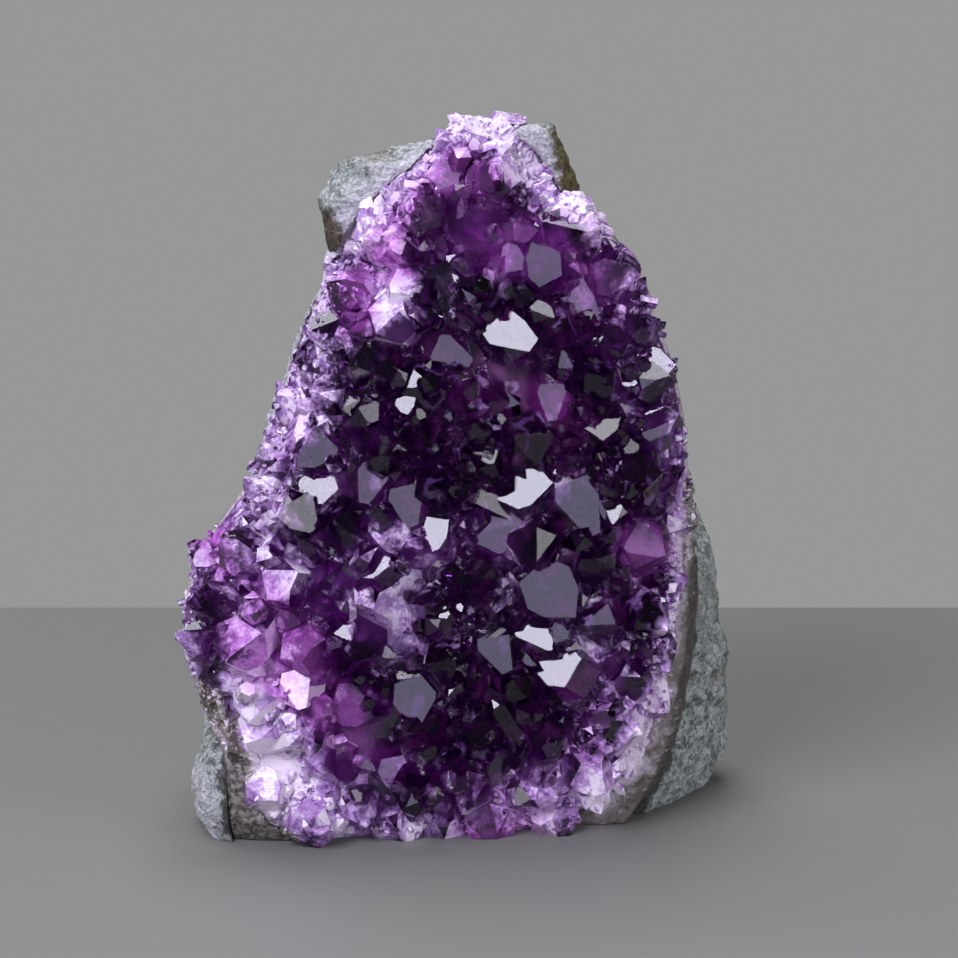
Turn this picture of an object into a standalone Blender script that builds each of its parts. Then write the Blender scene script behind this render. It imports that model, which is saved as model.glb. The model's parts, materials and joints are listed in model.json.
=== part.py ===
"""A standing amethyst cluster, sawn flat at its base: basalt host rock, the chalcedony band that lines
it, and the quartz crust whose amethyst crystals cover the front.

The tables below are in millimetres. +X is right, +Y runs from the crystal face back into the rock, and +Z is
up. Solids leave the tables in metres, with the middle of the sawn base at the origin. Run it with
blender --background --python part.py
"""

import math
import random

import bmesh
import bpy
from mathutils import Matrix, Vector, noise

MM = 0.001
BASE_MIDDLE = Vector((2.0, 40.0, 0.0))  # becomes the origin
FAR = 90.0  # past the whole cluster, for the cutters
GAP = 0.35  # between neighbouring layers

# The growth face is the curved sheet that the crystals stand on. Depths are y.
FACE_DEPTH = 9.5
CRUST_THICKNESS = 9.0
RIM_THICKNESS = 2.2
BAND_THICKNESS = 2.6
LEAN = [(0, 1.5), (14, 0), (45, 0), (90, 6), (150, 15)]
HOLLOW = {"x": 19.0, "z": 38.0, "width": 17.0, "height": 26.0, "depth": 6.0}
LEFT_LOBE = {"x": -38.0, "z": 46.0, "width": 20.0, "height": 18.0, "depth": -4.0}
LEFT_FOOT = {"x": -43.0, "z": 0.0, "width": 19.0, "height": 19.0, "depth": -8.0}

# The edges turn back towards the rock where the cluster was broken out: (height, how far).
EDGE_WIDTH = 15.0
LEFT_DROP = [(0, 1.0), (20, 2.0), (34, 12), (60, 14), (78, 11), (110, 10), (122, 5), (150, 3)]
RIGHT_DROP = [(0, 5), (14, 9), (30, 13), (70, 11), (110, 10), (150, 6)]
BOTTOM_DROP, BOTTOM_WIDTH = 2.0, 13.0
# The chalcedony that shows beside the crust: how far behind the crust's edge its lip starts, then its slope.
LIP_STEP, LIP_SLOPE = [(0, -1.2), (24, -0.6), (60, 1.2)], [(0, 0.1), (14, 0.25), (30, 0.5)]
LIP_RISE = 0.5  # the width in which it rises from behind the crust

CRUST_TOP, BAND_TOP = 148.0, 142.0
LEVELS = [0, 5, 11, 19, 27, 37, 48, 60, 72, 84, 96, 108, 119, 128, 134, BAND_TOP, CRUST_TOP]
COLUMNS = 9

# Outlines as seen from the front, (height, x).
CRUST_LEFT = [
    (0, -31), (5, -38.5), (11, -42), (18, -43.5), (27, -52.5), (37, -56.5), (52, -56), (61, -51), (72, -42.5), (82, -39),
    (93, -34.5), (104, -30.5), (114, -26.5), (126, -20.5), (137, -11), (143, -3), (148, 2),
]
CRUST_RIGHT = [
    (0, 21), (5, 29), (11, 35.5), (19, 40.5), (28, 43.5), (46, 46.5), (66, 48), (82, 47.5), (98, 44.5), (112, 38.5),
    (124, 32.5), (129, 28.5), (134, 20.5), (142, 16.5), (148, 10),
]
BAND_LEFT_MARGIN = [(0, 15.0), (5, 8.0), (11, 4.8), (18, 3.6), (26, 0.5), (110, 0.5), (118, 1.4), (130, 1.6), (150, 0.5)]
BAND_RIGHT_MARGIN = [(0, 14.0), (5, 9.5), (11, 7.0), (19, 5.4), (30, 4.4), (50, 3.6), (68, 0.8), (150, 0.5)]

# Horizontal sections of the basalt: height, left, right, front, back, centre x, centre y, and how square
# the front left and front right corners are (2 is an ellipse).
BASALT = [
    (0, -53.0, 56.0, 2.0, 70.0, 2, 44, 7.0, 1.3),
    (6, -55.0, 60.0, 1.0, 72.0, 2, 46, 7.0, 1.3),
    (14, -54.5, 61.0, 3.0, 72.5, 2, 46, 6.0, 1.35),
    (24, -51.5, 59.5, 8.0, 71.5, 3, 45, 4.0, 1.5),
    (40, -54.0, 56.5, 14.0, 68.0, 2, 42, 3.4, 1.8),
    (54, -52.5, 53.5, 18.0, 63.0, 1, 39, 3.4, 2.0),
    (70, -42.5, 50.0, 18.0, 58.5, 2, 37, 3.4, 2.3),
    (88, -37.0, 46.0, 20.0, 55.0, 3, 36, 3.4, 2.5),
    (104, -31.5, 41.0, 22.0, 52.0, 3, 35, 3.4, 2.6),
    (116, -27.0, 35.5, 25.0, 49.5, 2, 33, 3.6, 2.6),
    (122, -27.5, 32.0, 21.5, 48.5, 0, 31, 4.5, 2.6),
    (130, -30.0, 25.5, 20.5, 47.0, -2, 31, 4.5, 2.8),
    (137, -27.5, 23.0, 21.0, 45.5, -2, 31, 4.5, 4.0),
    (141, -23.0, 22.0, 21.0, 44.5, 0, 31, 3.6, 5.0),
    (143.5, -17.0, 21.5, 20.5, 43.0, 0, 31, 3.0, 5.0),
    (147, 11.0, 20.8, 20.0, 38.0, 16, 29, 3.0, 5.0),
]
# The top falls away towards the back: its slope, and the height and the depth that it starts from.
TOP_FALL = {"slope": 0.45, "z": 105.0, "y": 30.0}
BASALT_SIDES = 36
BASALT_STEP = 8.0
LUMP_SIZE, LUMP_HEIGHT = 21.0, 4.0
CHIP_SIZE, CHIP_HEIGHT = 8.0, 2.4

# Crystals. The pyramid faces of quartz stand at this angle to the crystal's long axis.
PYRAMID_ANGLE = math.radians(38.2)
LARGE_FACE = 0.24  # how much deeper the face that looks a given way is cut, as a share of the radius
ROOT_DEPTH = 2.6
ROOT_TAPER = 0.82
SEED = 11
FLAT = math.radians(0.7)  # faces closer to one plane than this are one face
SPECK = 0.005 * MM  # shorter edges go
OVERCUT = 1.0  # how far a rough solid runs past the cut that gives its final face
FILL_TRIES = 9000
FILL_RADIUS_AT_RIM, FILL_RADIUS_INSIDE, RIM_ZONE = 5.4, 7.4, 14.0
SPACING = 1.2  # least distance between two crystals, as a share of their mean radius
TILT = math.tan(math.radians(16))  # spread of the fill crystals' lean
BROKEN = {"x": -53.0, "z": 25.0, "width": 9.0, "height": 11.0}  # an oval at the left where no crystals stand

# The crystals that stand out: x, z, radius, how far the tip stands off the growth face, how the axis leans
# right and up (degrees), then its turn (degrees) or the way that its largest pyramid face looks.
UP_LEFT = (-0.240, -0.861, 0.448)
FORWARD = (0.150, -0.970, 0.170)
STANDOUTS = [
    (10.5, 106.0, 7.8, 11.2, 38, -20, UP_LEFT), (-25.0, 75.0, 6.2, 8.8, -42, 6, UP_LEFT),
    (12.5, 74.0, 8.2, 11.2, 30, 22, UP_LEFT), (24.0, 73.5, 8.8, 11.9, 22, -24, FORWARD),
    (-17.0, 58.0, 6.4, 10.0, 24, 30, UP_LEFT), (-6.0, 62.0, 5.6, 9.4, 10, 40, UP_LEFT),
    (5.5, 67.0, 8.2, 11.2, 44, 4, FORWARD), (17.5, 54.5, 9.4, 11.9, 36, -26, FORWARD),
    (6.5, 43.5, 6.4, 10.6, 20, -42, FORWARD), (24.5, 34.0, 7.8, 11.9, -16, 30, UP_LEFT),
    (-31.5, 35.5, 6.0, 9.4, 4, -36, UP_LEFT), (-10.0, 34.0, 6.6, 10.0, 16, -34, FORWARD),
    (-13.5, 17.5, 5.2, 8.1, 10, -30, FORWARD), (-4.0, 103.0, 5.8, 9.4, 34, -12, FORWARD),
    (-2.0, 136.0, 4.8, 7.5, 8, 28, FORWARD), (38.0, 63.5, 6.8, 10.0, 6, -8, 30),
    (-13.5, 125.0, 7.2, 8.8, -8, -6, 0), (-20.5, 114.5, 7.5, 8.1, -14, 2, 22),
    (5.0, 124.5, 10.8, 10.6, -6, -20, 30), (23.0, 125.5, 10.5, 10.0, 14, -12, 0),
    (31.0, 118.0, 7.8, 8.1, 24, -20, 12), (40.0, 97.0, 6.0, 7.5, 20, 8, UP_LEFT),
    (11.5, 117.0, 4.8, 10.6, 4, 30, FORWARD), (18.5, 116.5, 6.0, 10.6, -4, 26, FORWARD),
    (-16.5, 99.5, 8.0, 10.6, 16, -14, 24), (-24.5, 92.0, 6.0, 7.5, -20, 10, 6),
    (-11.0, 74.0, 6.4, 10.0, 14, -30, FORWARD), (-17.0, 78.5, 5.8, 9.4, -6, -34, FORWARD),
    (19.0, 95.5, 5.4, 9.4, 8, -40, FORWARD), (28.5, 104.0, 5.8, 9.4, 28, -18, 24),
    (37.0, 95.0, 6.0, 8.8, 30, 14, 0), (4.0, 92.0, 9.5, 9.4, -8, -10, 8), (28.0, 86.0, 9.8, 10.0, 12, -6, 26),
    (-5.5, 85.0, 9.2, 10.0, -12, 10, 0), (3.0, 57.0, 8.0, 9.4, -20, -8, 14),
    (6.5, 32.0, 8.5, 10.0, -10, 12, 28), (-19.5, 44.0, 8.2, 10.6, -14, -10, 0),
    (-5.0, 49.0, 6.8, 9.4, 20, 12, 10), (-42.0, 60.0, 6.5, 8.8, -24, 26, 22), (-35.0, 54.5, 6.8, 10.0, 20, 22, 0),
    (-49.0, 50.0, 6.0, 6.9, -34, 6, 16), (-46.0, 38.0, 6.5, 7.5, -26, -14, 0),
    (-30.0, 27.0, 8.2, 9.4, 6, -10, 18), (-25.5, 17.5, 7.5, 6.9, -4, -12, 0), (-20.5, 6.5, 8.0, 6.2, 8, -10, 30),
    (18.0, 14.0, 8.0, 7.5, 10, 24, 12), (38.5, 48.0, 6.5, 8.1, 16, -22, 0), (36.0, 33.0, 6.2, 7.5, 12, 16, 20),
    (-6.0, 25.0, 8.0, 9.4, 8, 4, 0), (2.0, 10.0, 7.5, 6.9, -10, -14, 14), (29.5, 60.0, 7.2, 8.8, -18, 10, 0),
    (30.0, 47.0, 7.0, 8.1, -26, -6, 24),
]


def along(profile, height):
    """The value at a height on a profile of (height, value) corners."""
    if height <= profile[0][0]:
        return profile[0][1]
    for (low, first), (high, second) in zip(profile, profile[1:]):
        if height <= high:
            return first + (second - first) * (height - low) / (high - low)
    return profile[-1][1]


def dent(x, z, shape):
    """A smooth hollow, or a swelling where its depth is negative."""
    away = ((x - shape["x"]) / shape["width"]) ** 2 + ((z - shape["z"]) / shape["height"]) ** 2
    return shape["depth"] * math.exp(-away)


def roll_off(distance, width, drop):
    """How far a face has turned back at this distance inside its edge."""
    share = max(0.0, 1 - max(distance, -0.4 * width) / width)
    return drop * share * share


def core_depth(x, z):
    """The growth face before its edges turn back."""
    return FACE_DEPTH + along(LEAN, z) + sum(dent(x, z, shape) for shape in (HOLLOW, LEFT_LOBE, LEFT_FOOT))


def face_depth(x, z):
    """The growth face, with its broken edges turned back towards the rock."""
    return (
        core_depth(x, z)
        + roll_off(x - along(CRUST_LEFT, z), EDGE_WIDTH, along(LEFT_DROP, z))
        + roll_off(along(CRUST_RIGHT, z) - x, EDGE_WIDTH, along(RIGHT_DROP, z))
        + roll_off(z, BOTTOM_WIDTH, BOTTOM_DROP)
    )


def crust_back(x, z):
    """Where the crust ends and the chalcedony begins. Outside the crust this is the chalcedony's lip."""
    inside = min(max(x, along(CRUST_LEFT, z)), along(CRUST_RIGHT, z))
    if x != inside:
        return face_depth(inside, z) + along(LIP_STEP, z) + along(LIP_SLOPE, z) * abs(x - inside)
    return max(core_depth(x, z) + CRUST_THICKNESS, face_depth(x, z) + RIM_THICKNESS)


def band_back(x, z):
    """Where the chalcedony ends and the basalt begins."""
    return crust_back(x, z) + BAND_THICKNESS


def band_left_margin(z):
    return along(BAND_LEFT_MARGIN, z)


def band_right_margin(z):
    return along(BAND_RIGHT_MARGIN, z)


def left_rise(z):
    return min(LIP_RISE, band_left_margin(z) / 2)


def right_rise(z):
    return min(LIP_RISE, band_right_margin(z) / 2)


def face_normal(x, z):
    """The direction that points out of the growth face."""
    step = 1.0
    slope_x = (face_depth(x + step, z) - face_depth(x - step, z)) / (2 * step)
    slope_z = (face_depth(x, z + step) - face_depth(x, z - step)) / (2 * step)
    return Vector((slope_x, -1.0, slope_z)).normalized()


def make_object(name, shape, collection, material=None):
    """Turns a mesh that was modelled in millimetres into an object in metres."""
    bmesh.ops.recalc_face_normals(shape, faces=shape.faces)
    bmesh.ops.triangulate(shape, faces=[f for f in shape.faces if len(f.verts) > 4])
    mesh = bpy.data.meshes.new(name)
    shape.to_mesh(mesh)
    shape.free()
    mesh.transform(Matrix.Scale(MM, 4) @ Matrix.Translation(-BASE_MIDDLE))
    body = bpy.data.objects.new(name, mesh)
    collection.objects.link(body)
    if material:
        mesh.materials.append(material)
    else:
        body.hide_render = True
        body.display_type = "WIRE"
    return body


def loft(rings):
    """A closed skin through rings of points that all have the same count, with a flat cap at each end.

    The first half of a ring is the front and the second half the back. Patches in both are split along the
    diagonal that leans the same way in space, so that two sheets a gap apart stay a gap apart.
    """
    shape = bmesh.new()
    rows = [[shape.verts.new(point) for point in ring] for ring in rings]
    count = len(rows[0])
    for lower, upper in zip(rows, rows[1:]):
        for i in range(count):
            j = (i + 1) % count
            patch = [lower[i], lower[j], upper[j], upper[i]]
            if i >= count / 2:
                patch = patch[1:] + patch[:1]
            shape.faces.new(patch[:3])
            shape.faces.new((patch[0], patch[2], patch[3]))
    shape.faces.new(rows[0])
    shape.faces.new(rows[-1])
    return shape


def spread(low, high, count):
    """Numbers from low to high that lie closer together near both ends."""
    middle, half = (low + high) / 2, (high - low) / 2
    return [middle - half * math.cos(math.pi * i / (count - 1)) for i in range(count)]


def slab(front, back, levels, margins):
    """A sheet between two depth functions. Past the crust's outline it runs out to each of the margins."""
    rings = []
    for z in levels:
        left, right = along(CRUST_LEFT, z), along(CRUST_RIGHT, z)
        across = spread(left, right, COLUMNS)
        for to_left, to_right in margins:
            across = [left - to_left(z)] + across + [right + to_right(z)]
        rings.append([Vector((x, front(x, z), z)) for x in across])
        rings[-1] += [Vector((x, back(x, z), z)) for x in reversed(across)]
    return loft(rings)


def past(levels):
    """The same levels, and one more beyond each end."""
    return [levels[0] - FAR] + levels + [levels[-1] + FAR]


def far(z):
    return FAR


def combine(body, operation, other):
    """Fuses or cuts an object with another object, or with a collection, and keeps one closed solid."""
    boolean = body.modifiers.new(operation.lower(), "BOOLEAN")
    boolean.operation = operation
    if isinstance(other, bpy.types.Collection):
        boolean.operand_type = "COLLECTION"
        boolean.collection = other
    else:
        boolean.object = other
    bpy.context.view_layer.update()
    body.data = bpy.data.meshes.new_from_object(body.evaluated_get(bpy.context.evaluated_depsgraph_get()))
    body.modifiers.clear()
    shape = bmesh.new()
    shape.from_mesh(body.data)
    keep_largest(shape)
    bmesh.ops.remove_doubles(shape, verts=shape.verts[:], dist=SPECK)
    bmesh.ops.dissolve_degenerate(shape, dist=SPECK, edges=shape.edges[:])
    bmesh.ops.dissolve_limit(shape, angle_limit=FLAT, verts=shape.verts[:], edges=shape.edges[:])
    bmesh.ops.triangulate(shape, faces=shape.faces[:])
    keep_largest(shape)
    shape.to_mesh(body.data)
    shape.free()


def keep_largest(shape):
    """Keeps the largest connected skin. Pockets sealed between crystals and loose slivers go."""
    left, islands = set(shape.faces), []
    while left:
        island, front = [], [left.pop()]
        while front:
            face = front.pop()
            island.append(face)
            near = {other for edge in face.edges if len(edge.link_faces) == 2 for other in edge.link_faces}
            front += near & left
            left -= near
        islands.append(island)
    islands.sort(key=len)
    bmesh.ops.delete(shape, geom=[face for island in islands[:-1] for face in island], context="FACES")


def crystal(radius, tip, root, rng, large_face=False):
    """A quartz point along +Z: a six-sided column under six pyramid faces, three of them larger."""
    shape = bmesh.new()
    top = tip + radius
    bmesh.ops.create_cone(
        shape,
        cap_ends=True,
        segments=6,
        radius1=radius * ROOT_TAPER,
        radius2=radius,
        depth=top + root,
        matrix=Matrix.Translation((0, 0, (top - root) / 2)),
    )
    first = rng.choice((0, 1))
    for i in range(6):
        turn = math.radians(60 * i)
        set_back = rng.uniform(0.0, 0.06) if i % 2 == first else rng.uniform(0.10, 0.34)
        if i == 0 and large_face:
            set_back = -LARGE_FACE
        outward = Vector((math.cos(turn), math.sin(turn), math.tan(PYRAMID_ANGLE))).normalized()
        point = Vector((0, 0, tip + set_back * radius))
        cut = bmesh.ops.bisect_plane(
            shape,
            geom=shape.verts[:] + shape.edges[:] + shape.faces[:],
            plane_co=point,
            plane_no=outward,
            clear_outer=True,
        )
        edges = [e for e in cut["geom_cut"] if isinstance(e, bmesh.types.BMEdge)]
        if edges:
            bmesh.ops.contextual_create(shape, geom=edges)
    return shape


def upright(axis):
    """The turn that stands +Z along an axis."""
    return axis.to_track_quat("Z", "Y").to_matrix().to_4x4()


def place(shape, spot, axis, spin):
    """Stands a crystal on a spot, along an axis and turned about it."""
    shape.transform(Matrix.Translation(spot) @ upright(axis) @ Matrix.Rotation(spin, 4, "Z"))


def face_towards(axis, looks):
    """The axis nearest to this one, and its spin, that let the first pyramid face look exactly one way."""
    looks = Vector(looks).normalized()
    aside = (axis - looks * axis.dot(looks)).normalized()
    axis = (looks * math.sin(PYRAMID_ANGLE) + aside * math.cos(PYRAMID_ANGLE)).normalized()
    flat = upright(axis).to_3x3().inverted() @ looks
    return axis, math.atan2(flat.y, flat.x)


def crystal_sites(rng):
    """Every crystal's place on the growth face: the ones that stand out, then a fill between them."""
    sites = []
    for x, z, radius, reach, right, up, turn in STANDOUTS:
        lean = Vector((math.tan(math.radians(right)), 0, math.tan(math.radians(up))))
        axis = (face_normal(x, z) + lean).normalized()
        aimed = isinstance(turn, tuple)
        axis, spin = face_towards(axis, turn) if aimed else (axis, math.radians(turn))
        sites.append((x, z, radius, reach, axis, spin, aimed))
    for _ in range(FILL_TRIES):
        z = rng.uniform(1, CRUST_TOP - 2)
        x = rng.uniform(along(CRUST_LEFT, z) + 1, along(CRUST_RIGHT, z) - 1)
        if ((x - BROKEN["x"]) / BROKEN["width"]) ** 2 + ((z - BROKEN["z"]) / BROKEN["height"]) ** 2 < 1:
            continue
        rim = min(x - along(CRUST_LEFT, z), along(CRUST_RIGHT, z) - x, 0.8 * (CRUST_TOP - z) + 2, z + 3)
        inside = min(rim, RIM_ZONE) / RIM_ZONE
        radius = FILL_RADIUS_AT_RIM + (FILL_RADIUS_INSIDE - FILL_RADIUS_AT_RIM) * inside
        radius *= rng.uniform(0.85, 1.15)
        spot = Vector((x, z))
        if any((spot - Vector(s[:2])).length < SPACING * (radius + s[2]) / 2 for s in sites):
            continue
        lean = Vector((rng.gauss(0, 1), rng.gauss(0, 0.4), rng.gauss(0, 1))) * TILT
        axis = (face_normal(x, z) + lean).normalized()
        reach = min(radius * rng.uniform(1.25, 1.9), 3.6 + rim * 0.6)
        sites.append((x, z, radius, reach, axis, rng.uniform(0, math.pi / 3), False))
    return sites


def saw_base(shape):
    """Takes off everything under the base plane."""
    cut = bmesh.ops.bisect_plane(
        shape,
        geom=shape.verts[:] + shape.edges[:] + shape.faces[:],
        plane_co=(0, 0, 0),
        plane_no=(0, 0, 1),
        clear_inner=True,
    )
    edges = [e for e in cut["geom_cut"] if isinstance(e, bmesh.types.BMEdge)]
    if edges:
        bmesh.ops.contextual_create(shape, geom=edges)


def build_crust(parts, cutters, material):
    """The quartz crust: a curved sheet with every crystal fused to it, cut where the other layers are."""
    sheet = slab(face_depth, lambda x, z: crust_back(x, z) + OVERCUT, LEVELS, [])
    body = make_object("amethyst_crust", sheet, parts, material)
    rng = random.Random(SEED)
    points = bpy.data.collections.new("crystal points")
    cutters.children.link(points)
    for number, (x, z, radius, reach, axis, spin, aimed) in enumerate(crystal_sites(rng)):
        point = crystal(radius, reach, ROOT_DEPTH, rng, aimed)
        place(point, Vector((x, face_depth(x, z), z)), axis, spin)
        saw_base(point)
        make_object(f"crystal_{number}", point, points)
    combine(body, "UNION", points)
    margins = [(left_rise, right_rise), (band_left_margin, band_right_margin), (far, far)]
    behind = slab(crust_back, lambda x, z: FAR, past(LEVELS), margins)
    combine(body, "DIFFERENCE", make_object("behind the crust", behind, cutters))
    combine(body, "DIFFERENCE", host_rock("rock and gap", GAP, cutters, cutters))


def build_band(parts, material):
    """The chalcedony: a thin tray that holds the crust, with a lip where the cluster was broken through it."""
    levels = LEVELS[: LEVELS.index(BAND_TOP) + 1]
    margins = [(left_rise, right_rise), (band_left_margin, band_right_margin)]
    sheet = slab(lambda x, z: crust_back(x, z) + GAP, band_back, levels, margins)
    make_object("chalcedony_band", sheet, parts, material)


def basalt_section(height):
    """The row of BASALT for any height, eased between the rows that are given."""
    for low, high in zip(BASALT, BASALT[1:]):
        if height <= high[0]:
            share = (height - low[0]) / (high[0] - low[0])
            return [a + (b - a) * share for a, b in zip(low, high)]
    return list(BASALT[-1])


def basalt_ring(height):
    """One horizontal section: four quarter ovals, each as square as its corner."""
    _, left, right, front, back, mid_x, mid_y, square_left, square_right = basalt_section(height)
    ring = []
    for i in range(BASALT_SIDES):
        turn = 2 * math.pi * i / BASALT_SIDES
        across, deep = math.cos(turn), math.sin(turn)
        square = 2.2
        if deep < 0:
            square = square_left if across < 0 else square_right
        size = (abs(across) ** square + abs(deep) ** square) ** (-1 / square)
        half_x = right - mid_x if across > 0 else mid_x - left
        half_y = back - mid_y if deep > 0 else mid_y - front
        ring.append(Vector((mid_x + across * size * half_x, mid_y + deep * size * half_y, height)))
    return ring


def roughen(point, proud):
    """Broken rock: broad lumps and sharper chips, and nothing that would lift the sawn base."""
    lump = noise.noise(point / LUMP_SIZE) * LUMP_HEIGHT
    chip = abs(noise.noise(point / CHIP_SIZE)) * CHIP_HEIGHT
    outward = Vector((point.x - BASE_MIDDLE.x, point.y - BASE_MIDDLE.y, 0)).normalized()
    share = max(0, point.z - TOP_FALL["z"]) / (CRUST_TOP - TOP_FALL["z"])
    fall = TOP_FALL["slope"] * max(0, point.y - TOP_FALL["y"]) * share
    return point + outward * (lump - chip + proud) - Vector((0, 0, fall))


def host_rock(name, proud, collection, cutters, material=None):
    """The basalt, hollowed for the layers that grew on it. It can be made a gap larger all over."""
    top = BASALT[-1][0]
    count = math.ceil(top / BASALT_STEP)
    rings = [[roughen(point, proud) for point in basalt_ring(top * i / count)] for i in range(count + 1)]
    rings[0] = [point - Vector((0, 0, proud)) for point in rings[0]]
    rings[-1] = [point + Vector((0, 0, proud)) for point in rings[-1]]
    body = make_object(name, loft(rings), collection, material)
    gap = GAP - proud
    walls = (lambda z: band_left_margin(z) + gap, lambda z: band_right_margin(z) + gap)
    rises = (left_rise, right_rise)
    tray = slab(lambda x, z: -FAR, lambda x, z: band_back(x, z) + gap, past(LEVELS), [rises, walls])
    combine(body, "DIFFERENCE", make_object(f"tray in {name}", tray, cutters))
    return body


def stone(name, colour, roughness):
    material = bpy.data.materials.new(name)
    material.use_nodes = True
    surface = material.node_tree.nodes["Principled BSDF"]
    surface.inputs["Base Color"].default_value = (*colour, 1)
    surface.inputs["Roughness"].default_value = roughness
    return material


def main():
    for old in list(bpy.data.objects):
        bpy.data.objects.remove(old, do_unlink=True)
    parts = bpy.data.collections.new("amethyst cluster")
    cutters = bpy.data.collections.new("cutters")
    bpy.context.scene.collection.children.link(parts)
    bpy.context.scene.collection.children.link(cutters)
    build_crust(parts, cutters, stone("amethyst", (0.16, 0.05, 0.27), 0.15))
    build_band(parts, stone("chalcedony", (0.35, 0.28, 0.19), 0.4))
    host_rock("basalt_matrix", 0, parts, cutters, stone("basalt", (0.30, 0.33, 0.30), 0.85))


main()
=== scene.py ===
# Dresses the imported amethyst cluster: clear crystals over milky quartz, a chalcedony rim and basalt rock.
# Lengths are in metres. +Y runs from the crystal face back into the rock, and the sawn base lies at z = 0.

import json
import math
import random

import bmesh
import bpy
import numpy as np
from mathutils import Matrix, Vector, noise
from mathutils.bvhtree import BVHTree
from mathutils.kdtree import KDTree

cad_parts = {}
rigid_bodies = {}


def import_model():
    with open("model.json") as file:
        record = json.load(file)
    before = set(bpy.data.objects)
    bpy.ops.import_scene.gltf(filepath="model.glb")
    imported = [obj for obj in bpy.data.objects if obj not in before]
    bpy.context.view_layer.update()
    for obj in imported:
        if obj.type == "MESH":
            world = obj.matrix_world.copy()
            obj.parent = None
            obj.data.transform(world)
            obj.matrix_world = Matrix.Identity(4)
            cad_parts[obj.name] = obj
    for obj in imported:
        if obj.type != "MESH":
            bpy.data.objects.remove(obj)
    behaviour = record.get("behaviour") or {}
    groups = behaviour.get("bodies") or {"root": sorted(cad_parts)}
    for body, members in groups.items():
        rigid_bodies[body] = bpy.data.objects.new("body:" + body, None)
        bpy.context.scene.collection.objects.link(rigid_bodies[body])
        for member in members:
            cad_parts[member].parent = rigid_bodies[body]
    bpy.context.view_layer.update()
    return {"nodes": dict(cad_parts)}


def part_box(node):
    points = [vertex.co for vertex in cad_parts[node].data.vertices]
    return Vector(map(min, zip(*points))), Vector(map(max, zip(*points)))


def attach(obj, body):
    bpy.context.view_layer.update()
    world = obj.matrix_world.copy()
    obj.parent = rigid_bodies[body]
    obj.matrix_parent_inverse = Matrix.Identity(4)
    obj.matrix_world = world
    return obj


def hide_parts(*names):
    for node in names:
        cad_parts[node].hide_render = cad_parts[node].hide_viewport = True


mm = 0.001


class Wire:  # one output of a node, with arithmetic
    def __init__(self, net, socket):
        self.net, self.socket = net, socket

    def maths(self, operation, a, b):
        return self.net.node("ShaderNodeMath", {"operation": operation}, {0: a, 1: b})

    def __add__(self, other):
        return self.maths("ADD", self, other)

    def __sub__(self, other):
        return self.maths("SUBTRACT", self, other)

    def __rsub__(self, other):
        return self.maths("SUBTRACT", other, self)

    def __mul__(self, other):
        return self.maths("MULTIPLY", self, other)

    def __rtruediv__(self, other):
        return self.maths("DIVIDE", other, self)

    def __pow__(self, other):
        return self.maths("POWER", self, other)

    def __gt__(self, other):
        return self.maths("GREATER_THAN", self, other)

    __radd__, __rmul__ = __add__, __mul__


class Net:  # a node tree that is being wired
    def __init__(self, tree):
        self.tree = tree
        tree.nodes.clear()

    def node(self, kind, settings=None, sockets=None, out=0):
        made = self.tree.nodes.new(kind)
        for name, value in (settings or {}).items():
            setattr(made, name, value)
        for name, value in (sockets or {}).items():
            if isinstance(value, Wire):
                self.tree.links.new(value.socket, made.inputs[name])
            else:
                made.inputs[name].default_value = value
        return Wire(self, made.outputs[out]) if made.outputs else None

    def ramp(self, value, low, high, start=0.0, end=1.0, kind="SMOOTHSTEP"):
        spans = {"Value": value, "From Min": low, "From Max": high, "To Min": start, "To Max": end}
        return self.node("ShaderNodeMapRange", {"interpolation_type": kind}, spans)

    def blend(self, factor, first, second):  # between two colours
        first, second = [c if isinstance(c, Wire) else (*c, 1) for c in (first, second)]
        return self.node("ShaderNodeMix", {"data_type": "RGBA"}, {0: factor, 6: first, 7: second}, out=2)

    def noise(self, place, size, detail=3.0, roughness=0.55):
        sockets = {"Vector": place, "Scale": 1 / size, "Detail": detail, "Roughness": roughness}
        return self.node("ShaderNodeTexNoise", {}, sockets)

    def cells(self, place, size):  # one random number for each cell
        colour = self.node("ShaderNodeTexVoronoi", {}, {"Vector": place, "Scale": 1 / size}, out="Color")
        return self.node("ShaderNodeSeparateColor", {}, {0: colour})

    def attribute(self, name):
        return self.node("ShaderNodeAttribute", {"attribute_name": name}, out="Fac")

    def region(self, name, ragged, amount, low, high):  # a stored value whose edge a mask makes ragged
        return self.ramp(self.attribute(name) + (ragged - 0.5) * amount, low, high)

    def place(self):
        return self.node("ShaderNodeTexCoord", out="Object")

    def stretched(self, place, scale, turn=(0, 0, 0)):
        return self.node("ShaderNodeMapping", {}, {"Vector": place, "Scale": scale, "Rotation": turn})

    def bump(self, height, strength, distance, under=None):
        sockets = {"Height": height, "Strength": strength, "Distance": distance}
        if under:
            sockets["Normal"] = under
        return self.node("ShaderNodeBump", {}, sockets)

    def finish(self, surface, volume=None):
        sockets = {"Surface": surface}
        if volume:
            sockets["Volume"] = volume
        self.node("ShaderNodeOutputMaterial", {}, sockets)


def newMaterial(name):
    made = bpy.data.materials.new(name)
    made.use_nodes = True
    return made, Net(made.node_tree)


def newPiece(name, shape):
    if isinstance(shape, bmesh.types.BMesh):
        mesh = bpy.data.meshes.new(name)
        shape.to_mesh(mesh)
        shape.free()
    else:
        mesh = shape
        mesh.name = name
    piece = bpy.data.objects.new(name, mesh)
    bpy.context.scene.collection.objects.link(piece)
    return piece


def copyOfNode(node):
    shape = bmesh.new()
    shape.from_mesh(frame["nodes"][node].data)
    bmesh.ops.remove_doubles(shape, verts=shape.verts[:], dist=0.01 * mm)
    return shape


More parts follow.
